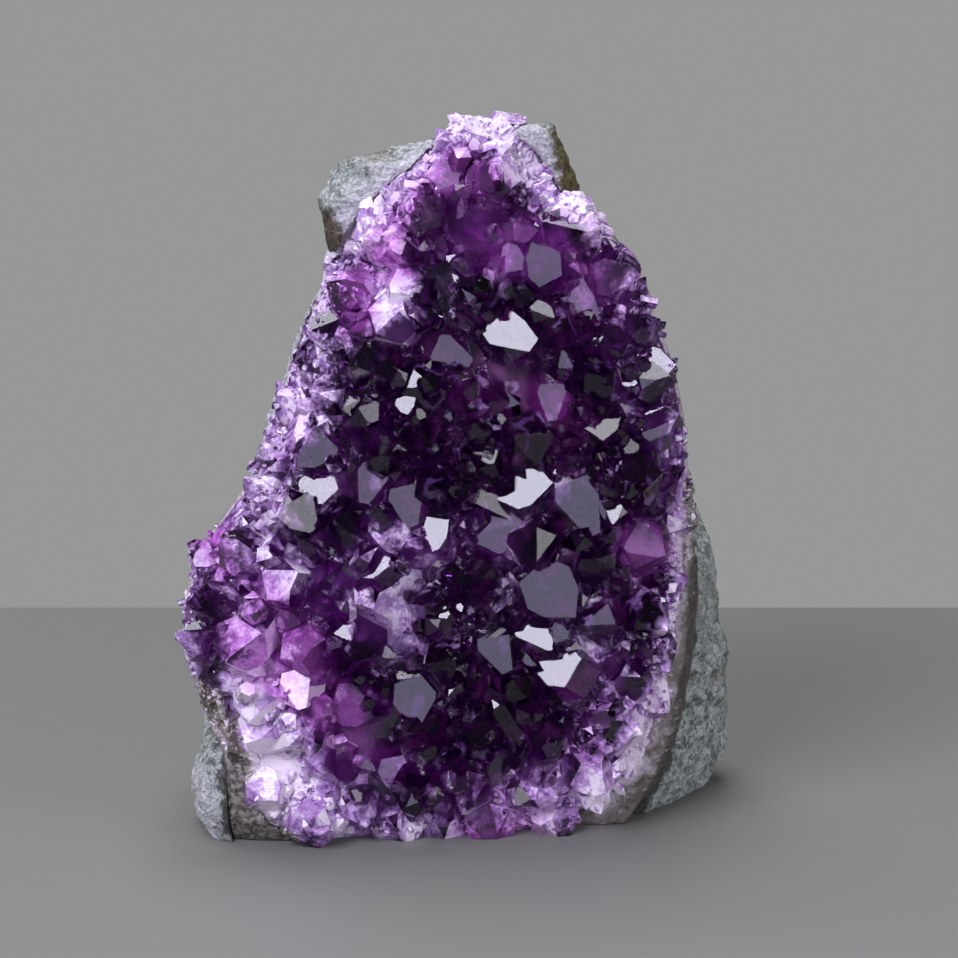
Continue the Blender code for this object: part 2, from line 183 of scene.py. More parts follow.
def bakeModifiers(piece):
    bpy.context.view_layer.update()
    graph = bpy.context.evaluated_depsgraph_get()
    mesh = bpy.data.meshes.new_from_object(piece.evaluated_get(graph))
    piece.modifiers.clear()
    piece.data = mesh
    mesh.name = piece.name


def runTree(piece, tree, values):
    modifier = piece.modifiers.new(tree.name, "NODES")
    modifier.node_group = tree
    for item in tree.interface.items_tree:
        if item.in_out == "INPUT" and item.name in values:
            modifier[item.identifier] = values[item.name]
    bakeModifiers(piece)


def newTree(name, inputs):
    tree = bpy.data.node_groups.new(name, "GeometryNodeTree")
    tree.interface.new_socket("Geometry", in_out="INPUT", socket_type="NodeSocketGeometry")
    for label, kind in inputs.items():
        tree.interface.new_socket(label, in_out="INPUT", socket_type="NodeSocket" + kind)
    tree.interface.new_socket("Geometry", in_out="OUTPUT", socket_type="NodeSocketGeometry")
    net = Net(tree)
    entry = tree.nodes.new("NodeGroupInput")
    return tree, net, {socket.name: Wire(net, socket) for socket in entry.outputs if socket.name}


def remeshPiece(piece, voxel):
    remesh = piece.modifiers.new("remesh", "REMESH")
    remesh.mode, remesh.voxel_size = "VOXEL", voxel
    bakeModifiers(piece)


def dress(piece, material, slot, *nodes):
    piece.data.materials.clear()
    piece.data.materials.append(material)
    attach(piece, "root")
    if nodes:
        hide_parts(*nodes)
    print(f"{piece.name}: {len(piece.data.polygons)} faces")


def vectorsOf(items, name):
    flat = np.empty(len(items) * 3)
    items.foreach_get(name, flat)
    return flat.reshape(-1, 3)


def pointsOf(mesh):
    return vectorsOf(mesh.vertices, "co")


def normalsOf(mesh):
    return vectorsOf(mesh.vertices, "normal")


def setPoints(mesh, points):  # nothing reaches below the sawn base
    points[:, 2] = np.maximum(points[:, 2], 0)
    mesh.vertices.foreach_set("co", points.ravel())
    mesh.update()


def storeValue(mesh, name, values, domain="POINT"):
    attribute = mesh.attributes.get(name) or mesh.attributes.new(name, "FLOAT", domain)
    attribute.data.foreach_set("value", values.astype(np.float32))


def readValue(mesh, name):
    values = np.empty(len(mesh.attributes[name].data), dtype=np.float32)
    mesh.attributes[name].data.foreach_get("value", values)
    return values


def smooth(values, low, high):
    share = np.clip((values - low) / (high - low), 0, 1)
    return share * share * (3 - 2 * share)


# The crust seen square on: how deep its front and its back lie, on a grid over x and z.
survey = {
    "step": 1.0 * mm, "margin": 3, "rayStart": 0.3,  # the margin is in steps
    "meanBlur": 8.0 * mm, "rootReach": 5.0 * mm, "rootBlur": 2.0 * mm, "blurTail": 1.8,
}


def surveyCrust():
    shape = copyOfNode("amethyst_crust")
    tree = BVHTree.FromBMesh(shape)
    shape.free()
    low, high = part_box("amethyst_crust")
    step, margin, start = survey["step"], survey["margin"], survey["rayStart"]
    xs = np.arange(low[0] - margin * step, high[0] + (margin + 1) * step, step)
    zs = np.arange(0.5 * step, high[2] + (margin + 1) * step, step)
    front = np.full((len(xs), len(zs)), np.nan)
    back = front.copy()
    for i, x in enumerate(xs):
        for j, z in enumerate(zs):
            hit = tree.ray_cast(Vector((x, -start, z)), Vector((0, 1, 0)))[0]
            if hit:
                front[i, j] = hit.y
                back[i, j] = tree.ray_cast(Vector((x, start, z)), Vector((0, -1, 0)))[0].y
    inside = ~np.isnan(front)
    grid = {"xs": xs, "zs": zs, "front": front, "back": back, "inside": inside}
    beside = [np.roll(inside, way, axis) for way in (1, -1) for axis in (0, 1)]
    edge = inside & ~np.logical_and.reduce(beside)
    rimTree = KDTree(int(edge.sum()))
    for i, j in np.argwhere(edge):
        rimTree.insert(Vector((xs[i], 0, zs[j])), 0)
    rimTree.balance()
    grid["rim"] = np.array([[rimTree.find(Vector((x, 0, z)))[2] for z in zs] for x in xs])
    grid["mean"] = blurred(front, inside, survey["meanBlur"])
    grid["root"] = blurred(deepest(front, inside, survey["rootReach"]), inside, survey["rootBlur"])
    return grid


def blurred(values, inside, radius):  # leaves out what lies outside
    reach = max(1, int(round(radius / survey["step"])))
    weights = np.exp(-np.linspace(-survey["blurTail"], survey["blurTail"], 2 * reach + 1) ** 2)
    total, share = np.where(inside, values, 0.0), inside.astype(float)
    for axis in (0, 1):
        total = np.apply_along_axis(np.convolve, axis, total, weights, "same")
        share = np.apply_along_axis(np.convolve, axis, share, weights, "same")
    return total / np.maximum(share, 1e-9)


def deepest(values, inside, radius):  # the depth furthest back within a radius
    reach = int(round(radius / survey["step"]))
    held = np.where(inside, values, -1.0)
    best = held.copy()
    for di in range(-reach, reach + 1):
        for dj in range(-reach, reach + 1):
            if di * di + dj * dj <= reach * reach:
                best = np.maximum(best, np.roll(np.roll(held, di, 0), dj, 1))
    return best


def readGrid(grid, name, points):
    cells = []
    for axis, line in ((0, grid["xs"]), (2, grid["zs"])):
        nearest = np.round((points[:, axis] - line[0]) / survey["step"]).astype(int)
        cells.append(np.clip(nearest, 0, len(line) - 1))
    return grid[name][cells[0], cells[1]]


def slabMesh(name, grid, front, back, mask):  # closed, between two depths
    index = np.full(mask.shape, -1)
    index[mask] = np.arange(mask.sum())
    picked = np.argwhere(mask)
    xs, zs = grid["xs"][picked[:, 0]], grid["zs"][picked[:, 1]]
    verts = np.vstack([np.column_stack([xs, depth[mask], zs]) for depth in (front, back)])
    faces, count = [], len(picked)
    for i, j in picked:
        corners = (index[i, j], index[i + 1, j], index[i + 1, j + 1], index[i, j + 1])
        if min(corners) >= 0:
            faces.append([int(c) for c in corners])
    edges = {(f[k], f[(k + 1) % 4]) for f in faces for k in range(4)}
    walls = [(q, p, p + count, q + count) for p, q in sorted(edges) if (q, p) not in edges]
    faces += [[c + count for c in reversed(f)] for f in faces] + walls
    mesh = bpy.data.meshes.new(name)
    mesh.from_pydata(verts.tolist(), [], faces)
    shape = bmesh.new()
    shape.from_mesh(mesh)
    bmesh.ops.delete(shape, geom=[v for v in shape.verts if not v.link_faces], context="VERTS")
    shape.to_mesh(mesh)
    shape.free()
    return mesh


# Where the crystals turn milky, magenta or brown: strokes in mm, each from (x, height) to (x, height), then
# its radius and strength. The height is read along the slope of the face (growthLean), not straight up.
regions = {
    "milk": [
        (-39, 76, -34, 93, 6, 0.5), (-34, 93, -27, 120, 5, 0.6), (-15.5, 118, -15, 112, 4.2, 1.8),
        (-22, 132, -8, 146, 6, 0.95), (1, 154, 9, 149, 6, 1.2), (13, 145, 23, 137, 5.5, 1.0),
        (-16, 128, -15, 126, 5, 0.9), (24, 137, 34, 118, 3.5, 0.4), (-42, 43, -39, 9, 5.5, 1.35),
        (-46, 37, -44, 18, 3.5, 1.0), (-33, 24, -29, 8, 7, 0.9), (-26, 5, 28, 8, 6, 0.5),
        (30, 10, 38, 18, 6, 1.0), (18, 13, 34, 26, 8, 0.62), (46, 66, 40, 22, 5, 0.75),
        (42, 90, 48, 60, 4, 0.5), (-43, 72, -37, 58, 6, 0.55), (2, 70, 8, 66, 5, 0.5),
        (-18, 68, -9, 64, 5, 0.7), (-24, 58, -18, 50, 6, 0.5), (-22, 47, -12, 42, 6, 0.3),
        (-56, 62, -58, 40, 4, 0.4), (-48, 60, -44, 48, 5, 0.6), (-30, 86, -26, 80, 6, 0.4),
        (30, 108, 34, 96, 5, 0.35), (31, 40, 37, 34, 6, 0.35), (-36, 62, -30, 56, 6, 0.35),
        (-28, 104, -20, 92, 5, 0.3), (10, 60, 26, 46, 5, 0.2),
    ],
    "magenta": [
        (36, 66, 37, 64, 5.5, 1.6), (-23, 119, -22, 113, 5, 1.2), (-16, 128, -15, 125, 5.5, 1.2),
        (1, 129, 5, 127, 8, 0.7), (16, 130, 30, 120, 8, 0.7), (-35, 38, -26, 30, 7, 1.2),
        (0, 146, 4, 142, 6, 0.9), (-52, 66, -50, 62, 5, 0.9), (-47, 47, -44, 40, 6, 0.8),
        (-24, 20, 20, 8, 7, 0.45), (-40, 56, -32, 46, 7, 0.7), (-38, 84, -31, 100, 4, 0.5),
        (-12, 136, -6, 142, 5, 0.7), (24, 20, 34, 30, 7, 0.5), (0, 2, 12, 2, 4, 0.9),
    ],
    "earth": [
        (-54, 33, -49, 18, 4.8, 1.2), (-48.5, 22, -47.5, 6, 2.6, 1.0), (-45, 5, -37, 2, 4.2, 1.2),
        (47, 80, 48, 44, 2.6, 0.9), (42, 22, 30, 2, 2.4, 0.8),
    ],
    # painted glow: where the quartz behind the crystals turns bright pink, standing in for light glowing
    # inside them
    "ember": [
        (4, 101, 12, 97, 8, 0.6), (18, 94, 24, 88, 7, 0.5), (-10, 84, 0, 78, 6, 0.4),
        (28, 112, 34, 108, 6, 0.5), (-8, 50, 4, 36, 7, 0.35),
    ],
    "sugar": [  # where small crystals crowd
        (-40, 76, -33, 95, 5, 0.9), (-33, 95, -26, 122, 4.5, 1.0), (-22, 132, -6, 147, 6, 1.1),
        (0, 150, 14, 147, 5, 1.0), (14, 144, 26, 134, 4, 0.8), (-41, 36, -39, 8, 5, 1.0),
        (-33, 22, -26, 6, 6, 0.8), (-26, 4, 30, 6, 4, 0.7), (30, 9, 40, 22, 6.5, 1.0),
        (46, 66, 41, 22, 5, 1.0), (46, 90, 48, 66, 3, 0.5), (-57, 62, -58, 30, 3, 0.6),
        (34, 122, 44, 100, 3, 0.4), (-20, 68, -12, 63, 3, 0.4), (-20, 46, -14, 42, 3, 0.3),
    ],
    "bridge": [(-44, 78, -27, 121, 3, 1.1), (-59, 52, -45, 78, 3, 1.1)],  # where they also cover the lip
    "cover": [(-24, 127, -2, 149, 3.5, 1.2), (13, 151, 22, 136, 3, 1.2)],  # where larger ones cover it
}
rockRegions = {
    "pale": [(-20, 137, -8, 143, 6, 0.9), (-28, 138, -20, 141, 6, 0.5), (-57, 16, -54, 2, 5.5, 1.5)],
    "rust": [(-29, 134, -25, 124, 3.6, 1.0), (-47, 22, -47, 0, 2.5, 0.6)],
    # dark patches at the bottom left; the last stroke is painted shade on the spur's under-face
    "dark": [(-44, 24, -45, 4, 4.5, 1.1), (-46, 4, -34, 0, 5, 1.2), (-32, 136, -31, 124, 2.2, 0.6)],
    # painted shade: a dark line along the joint between basalt and chalcedony on the right
    "seam": [
        (47.8, 62, 47.8, 45, 1.2, 1.1), (47.8, 45, 45.1, 30, 1.3, 1.1), (45.1, 30, 42.2, 18, 1.3, 1.1),
        (42.2, 18, 35.5, 4, 1.5, 1.1),
    ],
    "covered": [(-26, 130, -4, 148, 4.0, 1.2), (13, 152, 23, 137, 3.0, 1.0), (-45, 78, -27, 124, 3.0, 0.9)],
    "olive": [(20.5, 153, 22.5, 141, 3.2, 1.3)],
}
growthLean = {"slope": 0.25, "front": 40 * mm}  # height gained for each length back from this far in front


def markStrokes(mesh, table):
    points = pointsOf(mesh)
    heights = points[:, 2] + growthLean["slope"] * (points[:, 1] + growthLean["front"])
    spot = np.column_stack([points[:, 0], heights]) / mm
    for name, strokes in table.items():
        total = np.zeros(len(points))
        for x0, z0, x1, z1, radius, strength in strokes:
            start, along = np.array((x0, z0)), np.array((x1 - x0, z1 - z0))
            share = np.clip((spot - start) @ along / max(along @ along, 1e-9), 0, 1)
            away = np.linalg.norm(spot - start - share[:, None] * along, axis=1)
            total += strength * np.exp(-((away / radius) ** 2))
        storeValue(mesh, name, total)


def markRegions(mesh, grid):
    points = pointsOf(mesh)
    storeValue(mesh, "rim", readGrid(grid, "rim", points) / mm)
    storeValue(mesh, "depth", (points[:, 1] - readGrid(grid, "root", points)) / mm)
    markStrokes(mesh, regions)


# Polygons count as one flat face where their planes agree within these steps of distance and direction.
facets = {
    "distance": 0.5 * mm, "direction": 30,
    "mix": (12.9898, 78.233, 37.719), "shift": 4.581, "churn": 43758.5453,
}


def markFacets(mesh):  # one random number for each flat face
    normals, centres = vectorsOf(mesh.polygons, "normal"), vectorsOf(mesh.polygons, "center")
    plane = np.round((normals * centres).sum(1) / facets["distance"])
    mixed = np.round(normals * facets["direction"]) @ facets["mix"] + plane * facets["shift"]
    storeValue(mesh, "facet", np.sin(mixed) * facets["churn"] % 1.0, "FACE")


# Crystal points that Geometry Nodes scatter between the large ones. Their shapes have a radius of 1, and the
# faces of their pyramids are set back by two ranges in turn.
pointShapes = {
    "variants": 6, "seed": 5, "length": (1.2, 2.4), "root": 1.6, "foot": 0.9, "headroom": 1,
    "pyramid": math.radians(38.2), "largeSetBack": (0, 0.08), "smallSetBack": (0.1, 0.45),
}
fillers = {
    "Spacing": 2.9 * mm, "Smallest": 1.3 * mm, "Largest": 3.7 * mm, "Tilt": 0.8, "Sink": 0.4, "Seed": 3,
}
sparkles = {
    "Spacing": 1.15 * mm, "Smallest": 0.4 * mm, "Largest": 1.1 * mm, "Tilt": 1.2, "Sink": 0.7, "Seed": 8,
}
crumbs = {
    "Spacing": 1.7 * mm, "Smallest": 1.0 * mm, "Largest": 2.4 * mm, "Tilt": 0.9, "Sink": 1.1, "Seed": 21,
}
scatter = {
    "density": 4e6, "wander": ((-1, -1, -1), (1, 1, 1)), "turn": (0.0, 6.28),
    "stretch": ((0.7, 0.7, 0.8), (1.2, 1.2, 1.3)),
    "size": (0.0, 1.0), "favourSmall": 1.5,  # the share between the smallest and the largest, and its power
    "rimReach": 10, "rimSize": 0.4,  # how far from the rim, in mm, points shrink, and to what share
    "seeds": {"wander": 11, "turn": 23, "size": 37, "shape": 41, "stretch": 53},
}


def crystalShape(rng, length):
    shape = bmesh.new()
    top, root = length + pointShapes["headroom"], pointShapes["root"]
    bmesh.ops.create_cone(
        shape, cap_ends=True, segments=6, radius1=pointShapes["foot"], radius2=1.0, depth=top + root,
        matrix=Matrix.Translation((0, 0, (top - root) / 2)),
    )
    first = rng.choice((0, 1))
    for i in range(6):
        turn = math.radians(60 * i)
        setBack = rng.uniform(*pointShapes["largeSetBack" if i % 2 == first else "smallSetBack"])
        outward = Vector((math.cos(turn), math.sin(turn), math.tan(pointShapes["pyramid"]))).normalized()
        cut = bmesh.ops.bisect_plane(
            shape, geom=shape.verts[:] + shape.edges[:] + shape.faces[:],
            plane_co=(0, 0, length + setBack), plane_no=outward, clear_outer=True,
        )
        edges = [e for e in cut["geom_cut"] if isinstance(e, bmesh.types.BMEdge)]
        if edges:
            bmesh.ops.contextual_create(shape, geom=edges)
    bmesh.ops.recalc_face_normals(shape, faces=shape.faces[:])
    bmesh.ops.triangulate(shape, faces=shape.faces[:])
    return shape


def crystalVariants():
    rng = random.Random(pointShapes["seed"])
    made = bpy.data.collections.new("crystal shapes")
    for number in range(pointShapes["variants"]):
        mesh = bpy.data.meshes.new(f"crystal shape {number}")
        shape = crystalShape(rng, rng.uniform(*pointShapes["length"]))
        shape.to_mesh(mesh)
        shape.free()
        made.objects.link(bpy.data.objects.new(mesh.name, mesh))
    return made


def scatterTree():
    tree, net, given = newTree("scatter crystals", {
        "Sheet": "Object", "Shapes": "Collection", "Material": "Material",
        "Spacing": "Float", "Smallest": "Float", "Largest": "Float", "Tilt": "Float", "Sink": "Float",
        "Seed": "Int", "Join": "Bool",
    })
    sheet = net.node("GeometryNodeObjectInfo", {}, {"Object": given["Sheet"]}, out="Geometry")

    def stored(name, kind="FLOAT"):
        return net.node("GeometryNodeInputNamedAttribute", {"data_type": kind}, {"Name": name})

    def draw(name, low, high, kind="FLOAT"):
        first, out = {"FLOAT": (2, 1), "FLOAT_VECTOR": (0, 0), "INT": (4, 2)}[kind]
        sockets = {first: low, first + 1: high, "Seed": given["Seed"] + scatter["seeds"][name]}
        return net.node("FunctionNodeRandomValue", {"data_type": kind}, sockets, out=out)

    def vectorMaths(operation, sockets):
        return net.node("ShaderNodeVectorMath", {"operation": operation}, sockets)

    points = net.node("GeometryNodeDistributePointsOnFaces", {"distribute_method": "POISSON"}, {
        "Mesh": sheet, "Distance Min": given["Spacing"], "Density Max": scatter["density"],
        "Density Factor": stored("room"), "Seed": given["Seed"],
    }, out="Points")
    wander = draw("wander", *scatter["wander"], "FLOAT_VECTOR")
    wander = vectorMaths("SCALE", {0: wander, "Scale": given["Tilt"]})
    aim = vectorMaths("ADD", {0: stored("growth", "FLOAT_VECTOR"), 1: wander})
    spin = net.node("ShaderNodeCombineXYZ", {}, {2: draw("turn", *scatter["turn"])})
    turned = net.node("FunctionNodeEulerToRotation", {}, {0: spin})
    facing = {"Rotation": turned, "Vector": aim}
    upright = net.node("FunctionNodeAlignRotationToVector", {"axis": "Z"}, facing)
    share = draw("size", *scatter["size"]) ** scatter["favourSmall"]
    size = given["Smallest"] + (given["Largest"] - given["Smallest"]) * share
    size = size * net.ramp(stored("rim"), 0, scatter["rimReach"], scatter["rimSize"], 1.0)
    stretch = draw("stretch", *scatter["stretch"], "FLOAT_VECTOR")
    shapes = net.node("GeometryNodeCollectionInfo", {}, {0: given["Shapes"], "Separate Children": True})
    placed = net.node("GeometryNodeInstanceOnPoints", {}, {
        "Points": points, "Instance": shapes, "Pick Instance": True,
        "Instance Index": draw("shape", 0, pointShapes["variants"] - 1, "INT"),
        "Rotation": upright, "Scale": vectorMaths("SCALE", {0: stretch, "Scale": size}),
    })
    lower = net.node("ShaderNodeCombineXYZ", {}, {2: 0.0 - given["Sink"]})
    lowered = {0: placed, "Translation": lower, "Local Space": True}
    placed = net.node("GeometryNodeTranslateInstances", {}, lowered)
    fused = net.node("GeometryNodeMeshBoolean", {"operation": "UNION", "solver": "MANIFOLD"}, {1: placed})
    tree.links.new(given["Geometry"].socket, fused.socket.node.inputs[1])  # a second mesh in the same socket
    either = {0: given["Join"], 1: placed, 2: fused}
    chosen = net.node("GeometryNodeSwitch", {"input_type": "GEOMETRY"}, either)
    realized = net.node("GeometryNodeRealizeInstances", {}, {0: chosen})
    painted = net.node("GeometryNodeSetMaterial", {}, {"Geometry": realized, "Material": given["Material"]})
    net.node("NodeGroupOutput", {}, {0: painted})
    return tree


# A dense copy of the crust's skin says where small crystals have room, and which way they grow. The large
# flat faces that catch the light stay bare. Clearances are in mm, the large face in square mm.
growthSheet = {
    "voxel": 1.0 * mm, "clearOfRock": {"large": 1.3, "small": 0.5}, "aboveBase": 1.5, "underside": -0.6,
    "rise": 0.2, "side": (-0.5, 0.1), "front": (0.1, 0.45), "overLip": 4,
    "largeFace": 14.0, "facing": 0.97, "bare": ((-0.240, -0.861, 0.448), (0.151, -0.974, 0.171)),
}


def distanceTo(points, *nodes):  # in mm
    shape = bmesh.new()
    for node in nodes:
        shape.from_mesh(frame["nodes"][node].data)
    near = BVHTree.FromBMesh(shape)
    shape.free()
    return np.array([near.find_nearest(Vector(point))[3] for point in points]) / mm


def onBareFaces(points):
    shape = copyOfNode("amethyst_crust")
    bmesh.ops.dissolve_limit(shape, angle_limit=math.radians(1), verts=shape.verts[:], edges=shape.edges[:])
    shape.faces.ensure_lookup_table()
    ways = [Vector(way).normalized() for way in growthSheet["bare"]]
    bare = np.array([
        face.calc_area() / mm / mm > growthSheet["largeFace"]
        and max(face.normal.dot(way) for way in ways) > growthSheet["facing"] for face in shape.faces
    ])
    near = BVHTree.FromBMesh(shape)
    found = [near.find_nearest(Vector(point))[2] for point in points]
    shape.free()
    return bare[found]


def makeSheet(grid):
    shape = copyOfNode("amethyst_crust")
    shape.from_mesh(frame["nodes"]["chalcedony_band"].data)
    piece = newPiece("growth sheet", shape)
    remeshPiece(piece, growthSheet["voxel"])
    points, normals = pointsOf(piece.data), normalsOf(piece.data)
    slopeX, slopeZ = np.gradient(grid["mean"], survey["step"])
    slopes = {**grid, "slopeX": slopeX, "slopeZ": slopeZ}
    slopeX, slopeZ = [readGrid(slopes, name, points) for name in ("slopeX", "slopeZ")]
    growth = np.column_stack([slopeX, -np.ones(len(points)), slopeZ + growthSheet["rise"]])
    growth /= np.linalg.norm(growth, axis=1)[:, None]
    side = smooth(normals[:, 1], *growthSheet["side"])[:, None]
    growth = growth * (1 - side) + normals * side
    attribute = piece.data.attributes.new("growth", "FLOAT_VECTOR", "POINT")
    attribute.data.foreach_set("vector", growth.astype(np.float32).ravel())
    rim = readGrid(grid, "rim", points) / mm
    storeValue(piece.data, "rim", rim)
    hollow = (points[:, 1] - readGrid(grid, "mean", points)) / mm
    gap = distanceTo(points, "basalt_matrix", "chalcedony_band")
    clear = (points[:, 2] / mm > growthSheet["aboveBase"]) & (normals[:, 2] > growthSheet["underside"])
    clear &= ~onBareFaces(points)
    storeValue(piece.data, "front", smooth(-normals[:, 1], *growthSheet["front"]))
    markStrokes(piece.data, regions)
    onLip = readValue(piece.data, "bridge") + readValue(piece.data, "cover")
    least = growthSheet["clearOfRock"]
    free = {"large": clear & (gap > least["large"])}
    free["small"] = clear & (gap + onLip * growthSheet["overLip"] > least["small"])
    return piece, hollow, rim, free


# Crystals by the base are worn back to the face. The reach is how far they may stand out, in mm, at the base
# and at this height.
worn = {"height": 10.0, "reach": (0.0, 9.0)}


def wearFoot(mesh, grid):
    points = pointsOf(mesh)
    least, most = worn["reach"]
    reach = least + (most - least) * smooth(points[:, 2] / mm, 0, worn["height"])
    limit = readGrid(grid, "mean", points) - reach * mm
    low = points[:, 2] / mm < worn["height"]
    points[:, 1] = np.where(low, np.maximum(points[:, 1], limit), points[:, 1])
    setPoints(mesh, points)


# Where each kind of crystal sets in: ramps over the hollows and the rim, in mm, and over patches and regions.
settled = {
    "patch": 7 * mm, "fillerLeast": 0.12, "fillerHollow": (-0.4, 1.2), "sparkleHollow": (0.3, 2.5),
    "sparklePatch": (-0.1, 0.25), "crumbHollow": (-2.0, 0.5), "crumbPatch": 0.4, "crumbSugar": (0.2, 0.7),
    "crumbRim": (1.5, 0), "crumbRimShare": 0.5, "crumbEarth": (0.6, 0.3),
    "lip": (0.3, 0.6), "lipSize": 6,
}


def makeCrystals(grid, material, pointMaterial):
    sheet, hollow, rim, free = makeSheet(grid)
    tree, shapes = scatterTree(), crystalVariants()
    patches = np.array([noise.noise(Vector(p) / settled["patch"]) for p in pointsOf(sheet.data)])
    sugar, front, earth, bridge, cover = [
        readValue(sheet.data, name) for name in ("sugar", "front", "earth", "bridge", "cover")
    ]
    storeValue(sheet.data, "rim", rim + settled["lipSize"] * smooth(cover, *settled["lip"]))
    sugared = smooth(sugar + patches * settled["crumbPatch"], *settled["crumbSugar"])
    sugared = smooth(hollow, *settled["crumbHollow"]) * sugared
    sugared = sugared + settled["crumbRimShare"] * smooth(rim, *settled["crumbRim"])
    sugared = np.maximum(sugared, smooth(bridge + cover, *settled["lip"]) * front)
    least = settled["fillerLeast"]
    filled = least + (1 - least) * smooth(hollow, *settled["fillerHollow"])
    sparkled = smooth(hollow, *settled["sparkleHollow"]) * smooth(patches, *settled["sparklePatch"])
    room = {
        "amethyst_crystals": filled * front * free["large"],
        "druse_points": sparkled * free["large"],
        "rim_druse": sugared * smooth(earth, *settled["crumbEarth"]) * free["small"],
    }
    made = []
    for name, sizes in (("amethyst_crystals", fillers), ("druse_points", sparkles), ("rim_druse", crumbs)):
        join = name == "amethyst_crystals"
        storeValue(sheet.data, "room", np.clip(room[name], 0, 1))
        piece = newPiece(name, copyOfNode("amethyst_crust") if join else bpy.data.meshes.new(name))
        paint = material if join else pointMaterial
        runTree(piece, tree, {"Sheet": sheet, "Shapes": shapes, "Material": paint, "Join": join, **sizes})
        markRegions(piece.data, grid)
        markFacets(piece.data)
        wearFoot(piece.data, grid)
        made.append(piece)
    for spare in [sheet, *shapes.objects]:
        bpy.data.objects.remove(spare)
    bpy.data.collections.remove(shapes)
    return made


# Crystal finish: clear quartz with milky, magenta and stained parts, from the dark heart to the pale rim.
# Small points have a stronger grain, the second of each pair, and no colour in their volume.
amethystFinish = {
    "ior": 1.544, "clear": (0.95, 0.88, 0.98), "deep": (0.53, 0.32, 0.69),
    "absorption": (0.56, 0.07, 0.62), "density": 270.0,
    "violet": (0.122, 0.045, 0.198), "lilac": (0.415, 0.235, 0.53), "white": (0.86, 0.77, 0.87),
    "magenta": (0.44, 0.08, 0.48), "pink": (0.74, 0.40, 0.80),
    "brown": (0.075, 0.060, 0.045), "sand": (0.27, 0.24, 0.215),
    "cloudSize": 9 * mm, "softSize": 5 * mm, "clumpSize": 4.5 * mm, "wispSize": 4 * mm,
    "rippleSize": 3.5 * mm, "ripple": 0.3 * mm, "fineSize": 1.6 * mm, "fine": 0.2 * mm,
    "grainSize": 0.8 * mm, "wispScale": (1.0, 1.6, 0.5), "wispTurn": (0.3, 0.5, 0.2),
    "glintSpeckle": (0.55, 1.0), "clumping": (0.4, 0.7),
}


def crystalMaterial(name, small=False):
    made, net = newMaterial(name)
    look = amethystFinish
    place = net.place()
    cloud = net.noise(place, look["cloudSize"], 2.0)
    fine = net.ramp(net.noise(place, look["fineSize"], 3.0, 0.65), 0.36, 0.64)
    grain = net.ramp(net.noise(place, look["grainSize"], 2.0, 0.6), 0.36, 0.64)
    soft = net.ramp(net.noise(place, look["softSize"], 1.5), 0.33, 0.67)
    clump = net.cells(place, look["clumpSize"]) if small else soft
    # fine pale speckle on the milky parts, partly painted glints
    glintSpeckle, clumping = look["glintSpeckle"][small], look["clumping"][small]
    facet = net.attribute("facet")
    pale = net.attribute("milk") + net.ramp(net.attribute("rim") + cloud * 5, 8, 2, 0.0, 0.3)
    rooted = net.ramp(net.attribute("depth"), -7, -0.5)
    loose = (facet - 0.5) * 1.1 + (clump - 0.5) * clumping
    loose = loose + (fine - 0.5) * 0.5 * glintSpeckle + (rooted - 0.5) * 0.7
    veil = net.ramp(pale * 1.2 + loose * 0.7, 0.34, 0.95)
    wisp = net.noise(net.stretched(place, look["wispScale"], look["wispTurn"]), look["wispSize"], 4.0)
    veil = veil.maths("MAXIMUM", veil, net.ramp(wisp, 0.56, 0.64) * (facet > 0.5) * 0.4)
    magenta = net.ramp(net.attribute("magenta") + loose * 0.35, 0.25, 0.9)
    earth = net.ramp(net.attribute("earth") + loose * 0.3, 0.3, 0.8)
    mottle = pale * 0.7 + (facet - 0.5) * 0.9 + (clump - 0.5) * 0.5 + (rooted - 0.5) * 0.3
    mottle = mottle + (fine - 0.5) * 0.5 * glintSpeckle + (grain - 0.5) * 0.25 * glintSpeckle
    haze = net.blend(net.ramp(mottle, 0.0, 0.5), look["violet"], look["lilac"])
    haze = net.blend(net.ramp(mottle, 0.5, 1.05), haze, look["white"])
    blush = net.blend(net.ramp(mottle, 0.3, 1.1), look["magenta"], look["pink"])
    haze = net.blend(magenta * 0.75, haze, blush)
    dirt = net.blend(net.ramp(soft * 0.4 + facet * 0.3 + grain * 0.3, 0.3, 0.7), look["brown"], look["sand"])
    dirt = net.blend(net.ramp(fine * 0.7 + grain * 0.4 + facet * 0.5, 0.95, 1.5) * 0.8, dirt, look["white"])
    haze = net.blend(earth, haze, dirt)
    tint = net.blend(facet if small else facet * 0.5, look["clear"], look["deep"])
    tint = net.blend(magenta * 0.7, tint, look["pink"])
    bump = net.bump(net.noise(place, look["rippleSize"], 2.0), 0.05, look["ripple"])
    sugar = net.bump(fine, veil * 0.25 + earth * 0.7, look["fine"], bump)
    rough = net.ramp(facet, 0.6, 1.0, 0.0, 0.12) + veil * 0.12
    clear = net.node("ShaderNodeBsdfPrincipled", {}, {
        "Base Color": tint, "Roughness": rough, "IOR": look["ior"], "Normal": bump,
        "Transmission Weight": 1.0,
    })
    hazy = net.node("ShaderNodeBsdfPrincipled", {}, {
        "Base Color": haze, "Roughness": net.ramp(earth, 0, 1, 0.22, 0.6), "IOR": look["ior"],
        "Normal": sugar,
    })
    share = net.ramp(veil + magenta * 0.4 + earth, 0.0, 1.0, 0.0, 0.88, "LINEAR")
    if small:
        share = share * 0.8 + (facet > 0.55) * 0.2
    surface = net.node("ShaderNodeMixShader", {}, {0: share, 1: clear, 2: hazy})
    volume = {"Color": (*look["absorption"], 1), "Density": look["density"]}
    net.finish(surface, None if small else net.node("ShaderNodeVolumeAbsorption", {}, volume))
    return made


